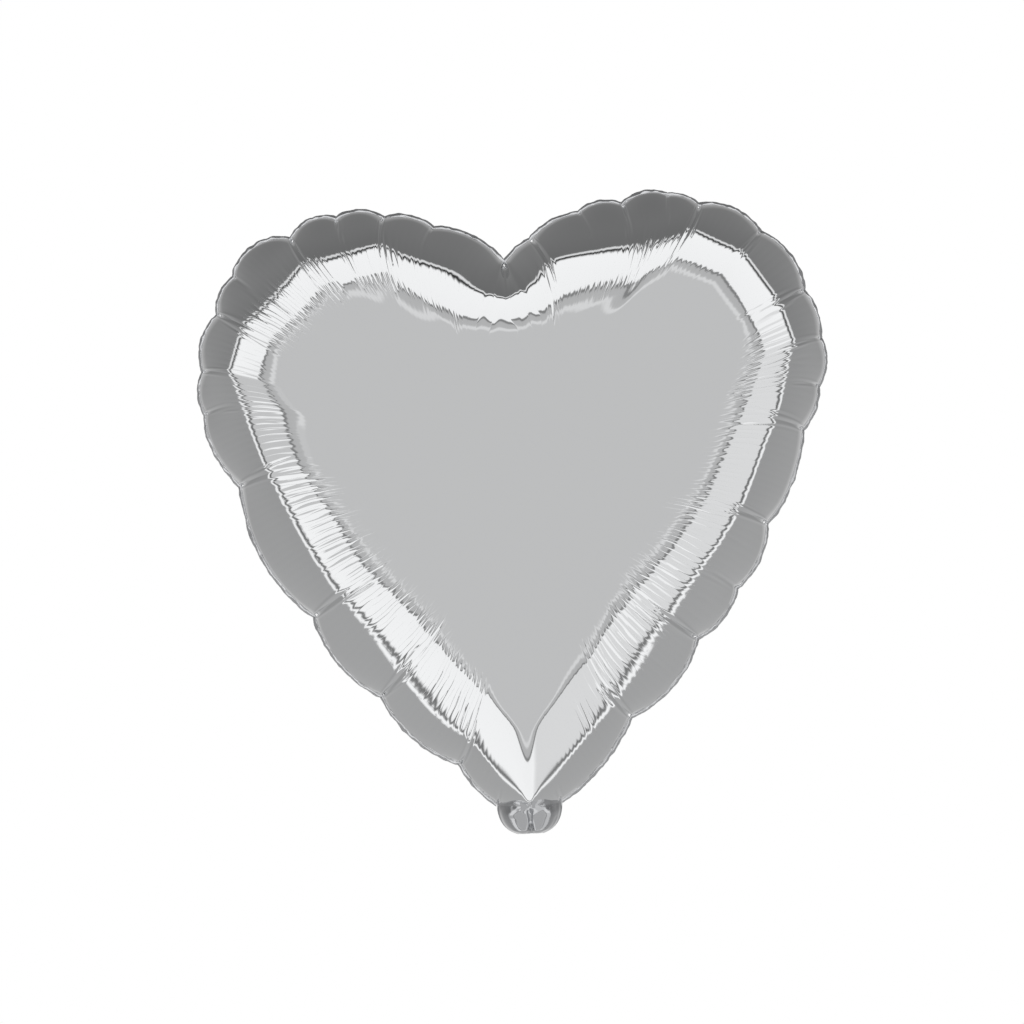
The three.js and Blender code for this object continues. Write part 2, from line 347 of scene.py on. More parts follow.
def facetShift(loop, columns, flat, reach):
    # How far each point moves outwards in the seam's plane: scallops at the seam, facets behind them
    scallop, facet, pleatTip = pleatOffsets(loop)
    sharp = atColumns(loop, columns, blurRound(facet, 1.2 * mm / seam["step"]))
    soft = atColumns(loop, columns, blurRound(facet, 18 * mm / seam["step"]))
    spread = np.linalg.norm(np.roll(flat, -1, axis=1) - flat, axis=2)
    squeeze = blurRound(np.clip(spread / spread[0], 0, 1).T, 4).T
    soften = smoothStep(15 * mm, 75 * mm, reach)
    deep = (1 - smoothStep(*panel["facetFade"], reach)) * squeeze
    shift = (sharp * (1 - soften) + soft * soften) * deep
    near = np.exp(-reach / panel["scallopFade"])
    shift = shift * (1 - near) + (atColumns(loop, columns, scallop) - seam["flangeShown"]) * near
    ease = smoothStep(0, 60 * mm, np.minimum(columns, loop["length"] - columns))
    shift *= 1 - smoothStep(4 * mm, 20 * mm, reach) * (1 - ease)
    return shift, atColumns(loop, columns, pleatTip)


def makeDomes(loop, columns):
    # The front and back films before they are creased, and what the creases need to know
    flat, inward, reach = makePlan(loop, columns)
    inside = makeRoom(loop, columns, flat, reach)
    depth = smoothDome(flat, inside)
    onNeck = int((columns > loop["length"]).sum())
    depths = ridgedFront(loop, flat, depth), slimBack(flat, inside, depth, len(columns) - 1 - onNeck // 2)
    shift, pleatTip = facetShift(loop, columns, flat, reach)
    flat = flat - inward * shift[:, :, None]
    known = {"columns": columns, "reach": reach, "inside": inside, "pleatTip": pleatTip, "inward": inward}
    return [{**known, "points": np.stack([flat[:, :, 0], -side, flat[:, :, 1]], 2)} for side in depths]


def gridNormals(points, inward):
    # Outward normals of a grid of rows round the heart; the seam row faces straight out
    normal = np.cross(np.roll(points, -1, axis=1) - np.roll(points, 1, axis=1), np.gradient(points, axis=0))
    normal /= np.maximum(np.linalg.norm(normal, axis=2), 1e-12)[:, :, None]
    normal[0] = np.stack([-inward[:, 0], np.zeros(len(inward)), -inward[:, 1]], 1)
    normal[-1] = (0, -1, 0)
    return normal


def crease(offset, width):
    # Across a fold line: a sharp valley with a low lip on each side
    lips = np.exp(-((np.abs(offset) - 2.3 * width) / (0.9 * width)) ** 2)
    return np.exp(-(np.abs(offset) / width) ** 1.3) - 0.4 * lips


def makeDetail(loop, dome, seed):
    # How far the creased film stands off the smooth dome, at each point of the grid
    rng = np.random.default_rng(seed)
    columns, reach, inside, pleatTip = (dome[name] for name in ("columns", "reach", "inside", "pleatTip"))
    length = loop["length"]
    onSeam = columns < length
    whole = loop["along"][-1] + seam["step"]
    detail, gather = np.zeros_like(reach), np.zeros_like(reach)

    def fromPlace(place):                                  # distance along the loop, either way round
        return (columns - place + whole / 2) % whole - whole / 2

    for share, _, _, depth, size in seam["pleats"]:
        place, size = share * length, size * mm
        offset = fromPlace(place) - rng.uniform(-0.04, 0.04) * reach
        fade = np.clip(1 - reach / size, 0, 1)
        detail -= depth * 0.45 * mm * fade ** 1.5 * crease(offset, 1.1 * mm * (0.6 + reach / (40 * mm)))
        for _ in range(int(size / (11 * mm))):             # the fan of finer folds beside it
            side = rng.choice([-1, 1])
            start, end = rng.uniform(0, 0.45) * size, rng.uniform(0.6, 1.15) * size
            lean = side * rng.uniform(0.02, 0.16)
            offset = fromPlace(place) - side * rng.uniform(0.2, 2.4) * mm - lean * reach
            body = np.clip(1 - np.abs(2 * reach - start - end) / (end - start), 0, 1) ** 0.6
            height = rng.uniform(0.12, 0.42) * rng.choice([-1, 1], p=[0.65, 0.35])
            detail += height * mm * body * crease(offset, rng.uniform(0.5, 1.0) * mm)
    for _ in range(60):                                    # short creases between the pleats
        place = rng.uniform(0.01, 0.99) * length
        start, size = rng.uniform(4, 34) * mm, rng.uniform(8, 24) * mm
        offset = columns - place - rng.uniform(-0.25, 0.25) * (reach - start)
        body = np.clip(1 - np.abs(reach - start - size / 2) / (size / 2), 0, 1) ** 0.7
        detail -= rng.uniform(0.03, 0.12) * mm * body * np.exp(-(offset / (rng.uniform(0.8, 1.6) * mm)) ** 2)

    def wander(spread, size):                              # smooth random wandering along the seam
        values = blurRound(rng.normal(size=len(loop["along"])), spread / seam["step"])
        return np.interp(columns, loop["along"], size * values / np.abs(values).max())

    wave = 2 * np.abs(np.sin(math.pi * columns / panel["rippleSpacing"] + wander(9 * mm, 2.5))) ** 0.75 - 1.2
    swell, edge = 0.75 + wander(6 * mm, 0.45), wander(2.4 * mm, 6 * mm)
    room = np.clip(inside.max(axis=0) / (70 * mm), 0.2, 1)
    for begin, end, height, first, last in panel["rippleZones"]:
        share = columns / length
        ends = smoothStep(begin - 0.005, begin + 0.005, share)
        ends *= 1 - smoothStep(end - 0.005, end + 0.005, share)
        middle, half = (first + last) / 2 * mm * room, (last - first) / 2 * mm * room
        band = np.clip(1 - ((reach + edge - middle) / half) ** 2, 0, 1)
        detail += height * mm * ends * swell * band * wave
        gather += height / 0.3 * ends * swell * band
    detail += 0.02 * mm * np.exp(-(reach / (45 * mm)) ** 2) * wave

    ridge = np.exp(-np.abs(reach - pleatTip) / (5 * mm))   # faint edge of the smooth face
    detail += 0.12 * mm * ridge * smoothStep(20 * mm, 40 * mm, reach)
    for _ in range(26):                                    # broad unevenness of the tight film
        place, width = rng.uniform(0, length), rng.uniform(14, 34) * mm
        deep = rng.uniform(20, 70) * mm
        bump = np.exp(-((columns - place) / width) ** 2 - ((reach - deep) / (18 * mm)) ** 2)
        detail += panel["waviness"] * rng.uniform(-1, 1) * bump * smoothStep(6 * mm, 25 * mm, reach)
    share = np.minimum(columns, length - columns) / length
    fade = np.clip(share / 0.02, 0, 1) * onSeam            # smooth above the neck
    return detail * (1 - smoothStep(4 * mm, 14 * mm, reach) * (1 - fade)), gather * fade


def buildPanel(name, side, seed, loop, dome):
    detail, gather = makeDetail(loop, dome, seed)
    along = np.broadcast_to(dome["columns"], gather.shape)
    seamMap = []
    points = dome["points"] + gridNormals(dome["points"], dome["inward"]) * detail[:, :, None]
    points[0, dome["columns"] < loop["length"], 1] = 0
    points[:, :, 1] -= panel["seamGap"]
    if side > 0:
        points[:, :, 1] *= -1
    rows, count = points.shape[:2]
    kept, index, vertices = [], {}, []
    step, changes = 1, dict(panel["coarseRows"])
    for row in range(rows - 1):
        step = changes.get(row, step)
        kept.append(step)
        for column in range(0, count, step):
            index[row, column] = len(vertices)
            vertices.append(points[row, column])
            seamMap += [along[row, column], dome["reach"][row, column], gather[row, column]]
    vertices.append(points[-1].mean(0))
    seamMap += [0, 1, 0]
    faces = []
    for row in range(rows - 2):
        outer, inner = kept[row], kept[row + 1]
        for column in range(0, count, inner):
            lower = [index[row, (column + n) % count] for n in range(0, inner + 1, outer)]
            faces.append(lower + [index[row + 1, (column + inner) % count], index[row + 1, column]])
    last = kept[-1]
    for column in range(0, count, last):
        faces.append([index[rows - 2, column], index[rows - 2, (column + last) % count], len(vertices) - 1])
    if side > 0:
        faces = [face[::-1] for face in faces]
    print(name, len(vertices), "points")
    piece = makePiece(name, vertices, faces)
    # for the material: how far along the seam, how far in from it, and how strongly gathered
    piece.data.attributes.new("seamMap", "FLOAT_VECTOR", "POINT").data.foreach_set("vector", seamMap)
    return piece


def colour(code):
    # sRGB hex to linear RGBA
    values = [int(code[i: i + 2], 16) / 255 for i in (1, 3, 5)]
    return [v / 12.92 if v <= 0.04045 else ((v + 0.055) / 1.055) ** 2.4 for v in values] + [1]


def addNode(tree, kind, inputs=(), **settings):
    # inputs by name, or in order in a list: a socket is linked, anything else is a value
    node = tree.nodes.new(kind)
    for name, value in settings.items():
        setattr(node, name, value)
    for name, value in inputs.items() if isinstance(inputs, dict) else enumerate(inputs):
        if isinstance(value, bpy.types.NodeSocket):
            tree.links.new(value, node.inputs[name])
        else:
            node.inputs[name].default_value = value
    return node


films = {
    # nylon film with a vacuum-coated aluminium skin: a bright mirror that hardly scatters, with the
    # 3 mm orange peel of a stretched film and, near the seam, fine gathers 3 mm apart
    "foil": {"name": "metallisedNylonFilm", "tint": "#eeeff0", "gloss": (0.035, 0.065), "patches": 9,
             "grainScale": 330, "grainStrength": 0.02, "grain": 0.1 * mm, "gathers": 3.1 * mm,
             "gatherHeight": 0.25 * mm},
    # the same film where it is heat sealed: pressed duller, with the 0.8 mm pitch of the sealing bar
    "sealed": {"name": "heatSealedFilm", "tint": "#d9dadc", "gloss": (0.11, 0.21), "patches": 60,
               "grainScale": 1250, "grainStrength": 0.25, "grain": 0.15 * mm},
    # the film crushed together at the neck, its skin dulled by handling
    "creased": {"name": "crushedNylonFilm", "tint": "#cccdcf", "gloss": (0.09, 0.15), "patches": 90,
                "grainScale": 700, "grainStrength": 0.15, "grain": 0.12 * mm},
}


def makeFilm(film):
    material = bpy.data.materials.new(film["name"])
    material.use_nodes = True
    tree = material.node_tree
    shader = tree.nodes["Principled BSDF"]
    shader.inputs["Base Color"].default_value = colour(film["tint"])
    shader.inputs["Metallic"].default_value = 1
    place = addNode(tree, "ShaderNodeTexCoord").outputs["Object"]
    drift = addNode(tree, "ShaderNodeTexNoise", {"Vector": place, "Scale": film["patches"], "Detail": 3})
    low, high = film["gloss"]
    gloss = addNode(tree, "ShaderNodeMapRange", {"Value": drift.outputs["Fac"], "From Min": 0.3,
                    "From Max": 0.7, "To Min": low, "To Max": high})
    tree.links.new(gloss.outputs["Result"], shader.inputs["Roughness"])
    fine = addNode(tree, "ShaderNodeTexNoise", {"Vector": place, "Scale": film["grainScale"], "Detail": 2})
    bump = addNode(tree, "ShaderNodeBump", {"Strength": film["grainStrength"], "Distance": film["grain"],
                   "Height": fine.outputs["Fac"]})
    if "gathers" in film:
        # rounded folds side by side with sharp valleys between, wandering as they run inwards
        seamMap = addNode(tree, "ShaderNodeAttribute", attribute_name="seamMap").outputs["Vector"]
        split = addNode(tree, "ShaderNodeSeparateXYZ", [seamMap])
        slow = addNode(tree, "ShaderNodeVectorMath", [seamMap, (70, 25, 0)], operation="MULTIPLY")
        sway = addNode(tree, "ShaderNodeTexNoise", {"Vector": slow.outputs[0], "Scale": 1, "Detail": 2})
        swing = addNode(tree, "ShaderNodeMath", [sway.outputs["Fac"], 9], operation="MULTIPLY")
        phase = addNode(tree, "ShaderNodeMath", [split.outputs["X"], math.pi / film["gathers"],
                        swing.outputs[0]], operation="MULTIPLY_ADD")
        sine = addNode(tree, "ShaderNodeMath", [phase.outputs[0]], operation="SINE")
        fold = addNode(tree, "ShaderNodeMath", [sine.outputs[0]], operation="ABSOLUTE")
        folds = addNode(tree, "ShaderNodeMath", [fold.outputs[0], 0.6], operation="POWER")
        height = addNode(tree, "ShaderNodeMath", [folds.outputs[0], split.outputs["Z"]],
                         operation="MULTIPLY")
        bump = addNode(tree, "ShaderNodeBump", {"Distance": film["gatherHeight"],
                       "Height": height.outputs[0], "Normal": bump.outputs["Normal"]})
    tree.links.new(bump.outputs["Normal"], shader.inputs["Normal"])
    return material


def makeClearFilm():
    # blown polyethylene valve film: thin, slightly milky and glossy, with faint draw lines
    material = bpy.data.materials.new("blownPolyethyleneFilm")
    material.use_nodes = True
    tree = material.node_tree
    shader = tree.nodes["Principled BSDF"]
    shader.inputs["IOR"].default_value = 1.51
    shader.inputs["Transmission Weight"].default_value = 0.75
    place = addNode(tree, "ShaderNodeTexCoord").outputs["Object"]
    lines = addNode(tree, "ShaderNodeTexWave", {"Vector": place, "Scale": 120, "Distortion": 3, "Detail": 2})
    tint = addNode(tree, "ShaderNodeMix", {0: lines.outputs["Fac"], 6: colour("#e9edf0"),
                   7: colour("#f6f8f9")}, data_type="RGBA")
    tree.links.new(tint.outputs[2], shader.inputs["Base Color"])
    gloss = addNode(tree, "ShaderNodeMapRange", {"Value": lines.outputs["Fac"], "To Min": 0.18,
                    "To Max": 0.28})
    tree.links.new(gloss.outputs["Result"], shader.inputs["Roughness"])
    return material


foil, weldedFoil, creasedFoil = (makeFilm(films[name]) for name in ("foil", "sealed", "creased"))
clearFilm = makeClearFilm()
print("materials made")

margin = {
    "step": 0.7 * mm,
    "profilePoints": 14,
    "thickness": 0.3 * mm,
    "seam": {"width": 3.3 * mm, "curl": 3.8 * mm, "height": 2.4 * mm, "length": 5.5 * mm},
    "tail": {"width": 2.6 * mm, "curl": 0.0, "height": 0.5 * mm, "length": 2.2 * mm},
}


def makeMarginTree():
    # A strip along a path, standing outwards, curled away from its normal side and crinkled
    tree = bpy.data.node_groups.new("crimpedMargin", "GeometryNodeTree")
    for name, kind in (("Path", "Geometry"), ("Step", "Float"), ("Width", "Float"), ("Thickness", "Float"),
                       ("Curl", "Float"), ("Crinkle height", "Float"), ("Crinkle length", "Float"),
                       ("Seed", "Float"), ("Facing", "Vector"), ("Film", "Material")):
        tree.interface.new_socket(name, in_out="INPUT", socket_type="NodeSocket" + kind)
    tree.interface.new_socket("Margin", in_out="OUTPUT", socket_type="NodeSocketGeometry")
    given = tree.nodes.new("NodeGroupInput").outputs

    path = addNode(tree, "GeometryNodeResampleCurve", {"Curve": given["Path"], "Length": given["Step"]},
                   mode="LENGTH")
    facing = addNode(tree, "GeometryNodeSetCurveNormal",
                     {"Curve": path.outputs[0], "Normal": given["Facing"]}, mode="FREE")
    profile = addNode(tree, "GeometryNodeCurvePrimitiveQuadrilateral",
                      {"Width": given["Thickness"], "Height": given["Width"]}, mode="RECTANGLE")
    evenly = addNode(tree, "GeometryNodeResampleCurve", {"Curve": profile.outputs[0],
                     "Count": margin["profilePoints"]})
    position = addNode(tree, "GeometryNodeInputPosition").outputs[0]
    split = addNode(tree, "ShaderNodeSeparateXYZ", [position])
    share = addNode(tree, "ShaderNodeMath", [split.outputs["Y"], given["Width"]], operation="DIVIDE")
    outwards = addNode(tree, "ShaderNodeMath", [share.outputs[0], 0.5], operation="ADD").outputs[0]
    curve = addNode(tree, "ShaderNodeMath", [outwards, 1.6], operation="POWER")
    bent = addNode(tree, "ShaderNodeMath", [curve.outputs[0], given["Curl"]], operation="MULTIPLY")
    away = addNode(tree, "ShaderNodeMath", [bent.outputs[0], -1], operation="MULTIPLY")
    # near its outer edge the curled strip turns back in
    tight = addNode(tree, "ShaderNodeMath", [outwards, 3], operation="POWER")
    turned = addNode(tree, "ShaderNodeMath", [tight.outputs[0], given["Curl"]], operation="MULTIPLY")
    lost = addNode(tree, "ShaderNodeMath", [turned.outputs[0], -0.22], operation="MULTIPLY")
    lift = addNode(tree, "ShaderNodeMath", [given["Width"], 0.42, lost.outputs[0]],
                   operation="MULTIPLY_ADD")
    move = addNode(tree, "ShaderNodeCombineXYZ", [away.outputs[0], lift.outputs[0]])
    curled = addNode(tree, "GeometryNodeSetPosition", {"Geometry": evenly.outputs[0],
                     "Offset": move.outputs[0]})
    strip = addNode(tree, "GeometryNodeCurveToMesh", {"Curve": facing.outputs[0],
                    "Profile Curve": curled.outputs[0], "Fill Caps": True})
    scale = addNode(tree, "ShaderNodeMath", [1, given["Crinkle length"]], operation="DIVIDE")
    noise = addNode(tree, "ShaderNodeTexNoise", {"W": given["Seed"], "Scale": scale.outputs[0],
                    "Detail": 1.5, "Roughness": 0.6}, noise_dimensions="4D")
    centred = addNode(tree, "ShaderNodeVectorMath", [noise.outputs["Color"], (0.5, 0.5, 0.5)],
                      operation="SUBTRACT")
    crinkle = addNode(tree, "ShaderNodeVectorMath",
                      {0: centred.outputs[0], "Scale": given["Crinkle height"]}, operation="SCALE")
    crimped = addNode(tree, "GeometryNodeSetPosition", {"Geometry": strip.outputs[0],
                      "Offset": crinkle.outputs[0]})
    real = addNode(tree, "GeometryNodeRealizeInstances", {"Geometry": crimped.outputs[0]})
    finish = addNode(tree, "GeometryNodeSetMaterial", {"Geometry": real.outputs[0],
                     "Material": given["Film"]})
    addNode(tree, "NodeGroupOutput", [finish.outputs[0]])
    return tree


def makeMargin(name, path, sizes, facing, seed):
    curve = bpy.data.curves.new(name + "Path", "CURVE")
    curve.dimensions = "3D"
    spline = curve.splines.new("POLY")
    spline.points.add(len(path) - 1)
    for point, place in zip(spline.points, path):
        point.co = (*place, 1)
    holder = bpy.data.objects.new(name + "Path", curve)
    scene.collection.objects.link(holder)
    modifier = holder.modifiers.new("margin", "NODES")
    modifier.node_group = marginTree
    values = {"Step": margin["step"], "Width": sizes["width"], "Thickness": margin["thickness"],
              "Curl": sizes["curl"], "Crinkle height": sizes["height"], "Crinkle length": sizes["length"],
              "Seed": seed, "Facing": facing, "Film": weldedFoil}
    for item in marginTree.interface.items_tree:
        if item.in_out == "INPUT" and item.name in values:
            modifier[item.identifier] = values[item.name]
    bpy.context.view_layer.update()
    shown = holder.evaluated_get(bpy.context.evaluated_depsgraph_get())
    mesh = bpy.data.meshes.new_from_object(shown)
    mesh.name = name
    mesh.shade_smooth()
    piece = bpy.data.objects.new(name, mesh)
    scene.collection.objects.link(piece)
    bpy.data.objects.remove(holder)
    print(name, len(mesh.polygons), "faces")
    return piece


marginTree = makeMarginTree()
loop = makeSeam()
frontDome, backDome = makeDomes(loop, columnPlaces(loop))
print("dome shaped")
front = buildPanel("frontFoilPanel", -1, 11, loop, frontDome)
back = buildPanel("backFoilPanel", 1, 23, loop, backDome)
for piece, node in ((front, "front_foil_panel"), (back, "back_foil_panel")):
    piece.data.materials.append(foil)
    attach(piece, "envelope")
    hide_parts(node)

edge = frontDome["points"][0, frontDome["columns"] < loop["length"]].copy()
edge[:, 1] = 0
seamMargin = makeMargin("crimpedSeamMargin", edge, margin["seam"], (0, -1, 0), 3.0)
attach(seamMargin, "envelope")
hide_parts("perimeter_weld")

neck = {
    "columns": 57, "rows": 44,
    "sideCurve": ((19 * mm, 4.7 * mm), (18.5 * mm, -8.5 * mm), (8 * mm, -12 * mm)),
    "overlap": 8 * mm,                    # how far the plies run up inside the panels
    "drop": 16 * mm,                      # the height that distances down the plies are shares of
    # soft swellings on the front: middle (across, down), size (across, down), height
    "pillows": [(-0.46, 0.34, 0.46, 0.62, 3.2 * mm), (0.40, 0.28, 0.44, 0.70, 3.2 * mm)],
    "gap": (0.03, 0.74, 0.08, 0.28, 4.2 * mm),
    "crumple": 0.5 * mm,
}


def neckPly(name, side, seed):
    rng = np.random.default_rng(seed)
    a, b, c = (np.array(p) for p in neck["sideCurve"])
    down = np.linspace(0, 1, neck["rows"])
    t = down[:, None]
    line = (1 - t) ** 2 * a + 2 * t * (1 - t) * b + t ** 2 * c
    top = np.linspace(a[1] + neck["overlap"], a[1], 16)[:-1]
    heights = np.r_[top, line[:, 1]]
    widths = np.r_[np.full(15, a[0]), line[:, 0]]
    down = np.r_[-(top - a[1]) / neck["drop"], down]
    u = np.linspace(-1, 1, neck["columns"])[None, :]
    v = down[:, None] + 0 * u
    dome = frontDome if side < 0 else backDome
    openNeck = dome["columns"] > loop["length"]
    rim = dome["points"][0, openNeck]
    x = u * widths[:, None]
    atRim = np.interp(x, rim[:, 0], -rim[:, 1], left=0, right=0)
    if side < 0:
        hang = np.interp(v, (-0.6, 0, 0.25, 0.7, 0.9, 1), (1, 1, 1, 0.9, 0.6, 0.1))
    else:
        hang = np.interp(v, (-0.6, 0, 0.35, 0.7, 1), (1, 1, 0.62, 0.3, 0.06))
    belly = np.clip(1 - np.abs(u) ** 4, 0, 1) ** 0.8 * rim[:, 1].min() * -0.8
    below = smoothStep(-0.05, 0.2, v)
    depth = (atRim * (1 - below) + belly * below) * hang
    depth += np.where(v < 0, -0.5 * v * neck["drop"] - 0.8 * mm, 0)   # up inside the panels
    if side < 0:
        for place, drop, wide, tall, height in neck["pillows"]:
            away = ((u - place) / wide) ** 2 + ((v - drop) / tall) ** 2
            depth += height * np.clip(1 - away ** 3, 0, 1)
        place, drop, wide, tall, height = neck["gap"]
        away = ((u - place) / wide) ** 2 + ((v - drop) / tall) ** 2
        depth -= height * np.exp(-away ** 1.5)
        groove = np.exp(-((u - 0.02 - 0.1 * (0.4 - v)) / 0.035) ** 2)
        depth -= 1.1 * mm * groove * smoothStep(-0.05, 0.1, v) * (v < 0.6)
    edge = smoothStep(0.62, 0.86, np.abs(u)) + smoothStep(0.14, -0.02, v) + 0.15
    for _ in range(70):                                    # random short folds
        pu, pv, angle = rng.uniform(-1, 1), rng.uniform(-0.1, 1), rng.uniform(0, math.pi)
        across = (u - pu) * math.cos(angle) * 19 + (v - pv) * math.sin(angle) * 14
        along = -(u - pu) * math.sin(angle) * 19 + (v - pv) * math.cos(angle) * 14
        fold = np.exp(-(np.abs(across) / rng.uniform(0.4, 0.8)) ** 1.2 - (along / rng.uniform(1.5, 4)) ** 2)
        height = neck["crumple"] * rng.uniform(-1.5, 1)
        depth += height * fold * np.clip(edge, 0, 1) * smoothStep(1.0, 0.97, np.abs(u))
    depth = np.maximum(depth, 0.12 * mm) * smoothStep(1.001, 0.9, np.abs(u)) + 0.06 * mm
    z = heights[:, None] + 0 * u
    points = np.stack([x, side * depth, z], 2).reshape(-1, 3)
    piece = makePiece(name, points, gridFaces(len(down), neck["columns"], flipped=side < 0))
    piece.data.materials.append(creasedFoil)
    return piece


neckFront, neckBack = neckPly("neckFrontPly", -1, 5), neckPly("neckBackPly", 1, 8)
for piece, nodes, flat in ((neckFront, ("neck_front_ply", "neck_weld_left"), (0.058, 0.027)),
                           (neckBack, ("neck_back_ply", "neck_weld_right"), (0.046, 0.025))):
    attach(piece, "envelope")
    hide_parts(*nodes)
print("neck gathered")

tail = {
    "hinge": (0, 2.4 * mm, -10 * mm),
    "lean": math.radians(33),
    # half width against length from the hinge, in mm
    "widths": ((0.6, 8), (1, 8), (6, 11.2), (12, 14.2), (18, 16.4), (23, 17), (57, 17), (59, 16.7),
               (61, 15.2), (62.4, 12.6), (63, 11)),
    "columns": 49, "rows": 90,
    "depth": 1.25 * mm,                   # half the gap between the plies
    "crumple": 0.45 * mm,
    "bow": 0.5 * mm,
    "weldInset": 2.3 * mm,
    # the fold that joins it to the neck, in depth and height: a U under the hinge
    "fold": [(0.4 * mm, -9.0 * mm), (0.4 * mm, -13.3 * mm), (3.0 * mm, -13.1 * mm), (3.1 * mm, -7.9 * mm)],
}


def toTail(x, depth, up):
    # from the tail's own width, depth (away from the balloon) and length to the model's frame
    c, s = math.cos(tail["lean"]), math.sin(tail["lean"])
    hx, hy, hz = tail["hinge"]
    return np.stack([x + hx, hy + depth * c + up * s, hz - depth * s + up * c], -1)


def tailBow(up):
    return tail["bow"] * np.sin(up / (13 * mm)) * smoothStep(6 * mm, 20 * mm, up)


def tailPly(name, side, seed):
    rng = np.random.default_rng(seed)
    table = np.array(tail["widths"]) * mm
    up = np.linspace(table[0, 0], table[-1, 0], tail["rows"])[:, None]
    width = np.interp(up, table[:, 0], table[:, 1])
    u = np.linspace(-1, 1, tail["columns"])[None, :]
    x = u * width
    depth = tail["depth"] * (1 - np.abs(u) ** 5) * (0.45 + 0.55 * smoothStep(0, 12 * mm, up))
    fold = np.zeros_like(x)
    for _ in range(46):
        px, pz, angle = rng.uniform(-15, 15) * mm, rng.uniform(0, 60) * mm, rng.uniform(0, math.pi)
        across = (x - px) * math.cos(angle) + (up - pz) * math.sin(angle)
        along = -(x - px) * math.sin(angle) + (up - pz) * math.cos(angle)
        fold += rng.uniform(-1, 0.7) * np.exp(-(np.abs(across) / (rng.uniform(0.6, 2.2) * mm)) ** 1.3
                                              - (along / (rng.uniform(5, 16) * mm)) ** 2)
    for _ in range(9):                                     # pleats that run down into the gathered neck
        px = rng.uniform(-0.8, 0.8)
        size = rng.uniform(10, 22) * mm
        fold -= 1.2 * np.exp(-(np.abs(u - px) * width / (0.8 * mm)) ** 1.3) * np.clip(1 - up / size, 0, 1)
    depth = depth + tail["crumple"] * fold * (1 - np.abs(u) ** 6)
    depth = side * np.maximum(depth, 0.2 * mm * (1 - np.abs(u) ** 8))
    points = toTail(x, depth + tailBow(up), up + 0 * x).reshape(-1, 3)
    piece = makePiece(name, points, gridFaces(tail["rows"], tail["columns"], flipped=side > 0))
    piece.data.materials.append(foil)
    return piece


tailFront, tailBack = tailPly("tailFrontPly", 1, 31), tailPly("tailBackPly", -1, 32)
for piece, node in ((tailFront, "tail_front_ply"), (tailBack, "tail_back_ply")):
    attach(piece, "tail")
    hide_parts(node)


def makeTailWeld(name, side, node, seed):
    line = np.array(tail["widths"][2:-1]) * mm
    ups = np.linspace(line[0, 0], line[-1, 0], 60)
    across = np.interp(ups, line[:, 0], line[:, 1]) - tail["weldInset"]
    path = toTail(side * across, tailBow(ups), ups)
    facing = (0, -math.cos(tail["lean"]), math.sin(tail["lean"]))
    weld = makeMargin(name, path if side > 0 else path[::-1], margin["tail"], facing, seed)
    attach(weld, "tail")
    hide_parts(node)


def makeTailCrease():
    # The bent film between neck and tail, which follows them both
    arc = np.vstack([bezier(tail["fold"], 15), [tail["fold"][-1]]])
    u = np.linspace(-1, 1, 41)[None, :]
    ends = np.sin(np.linspace(0, math.pi, len(arc)))[:, None]
    ridges = 0.25 * mm * np.sin(u * 17 + 1.3 * np.sin(u * 5)) * ends
    points = np.stack([8 * mm * u + 0 * ridges, arc[:, :1] + 0 * u, arc[:, 1:] - np.abs(ridges)], 2)
    strip = makePiece("tailCrease", points.reshape(-1, 3), gridFaces(len(arc), 41))
    strip.data.materials.append(creasedFoil)
    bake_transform(strip)


makeTailWeld("tailWeldRight", 1, "tail_weld_right", 1.0)
makeTailWeld("tailWeldLeft", -1, "tail_weld_left", 2.0)
makeTailCrease()
print("tail folded")

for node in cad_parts:
    shown = bpy.data.objects.get(node if isinstance(node, str) else node["name"])
    if shown and shown.name.startswith("valve"):
        for slot in shown.material_slots:
            slot.material = clearFilm

studio = {
    # brightness against the angle from the camera's side, in degrees: a grey room with a ring of
    # softboxes, each with a dark frame and a bright gap behind it
    "ring": [
        (0, 0.595), (48, 0.595), (49.5, 0.76), (51.5, 0.76), (53, 0.52), (58.5, 0.5), (59.5, 0.24),
        (61.5, 0.24), (62.5, 1.0), (96, 1.03), (97.5, 0.14), (99.5, 0.14), (100.3, 0.95), (102.3, 0.95),
        (103.2, 0.3), (150, 0.33), (172, 0.6), (180, 0.8),
    ],
    # the most that the ring reaches, against the direction round the camera's axis: 0 and 1 are the
    # left, 0.25 below, 0.5 the right and 0.75 above; a gap on the left, a weaker lamp on the right
    "lamps": [
        (0, 0.62), (0.056, 0.62), (0.068, 1.15), (0.31, 1.15), (0.35, 0.78), (0.54, 0.82), (0.56, 1.15),
        (0.968, 1.15), (0.976, 0.85), (0.996, 0.85), (1, 0.62),
    ],
    "floorGlow": 0.14,
    "floorNarrowing": 0.25,
    "floorHeight": -0.75,
    "floorRadius": 4.0,
}


def makeFloor():
    # pale seamless board under the balloon, lit evenly from above
    turns = np.linspace(0, 2 * math.pi, 96, endpoint=False)
    corners = [(studio["floorRadius"] * math.cos(turn), studio["floorRadius"] * math.sin(turn),
                studio["floorHeight"]) for turn in turns]
    mesh = bpy.data.meshes.new("studioFloor")
    mesh.from_pydata(corners, [], [tuple(range(len(corners)))])
    floor = bpy.data.objects.new("studioFloor", mesh)
    scene.collection.objects.link(floor)
    material = bpy.data.materials.new("paintedBoard")
    material.use_nodes = True
    shader = material.node_tree.nodes["Principled BSDF"]
    shader.inputs["Base Color"].default_value = colour("#f4f4f2")
    shader.inputs["Roughness"].default_value = 0.9
    mesh.materials.append(material)
    floor.visible_glossy = False
    data = bpy.data.lights.new("overheadLight", "SUN")
    data.energy, data.angle = 1.6, math.radians(70)
    lamp = bpy.data.objects.new("overheadLight", data)
    lamp.visible_camera = False
    lamp.visible_glossy = False
    scene.collection.objects.link(lamp)


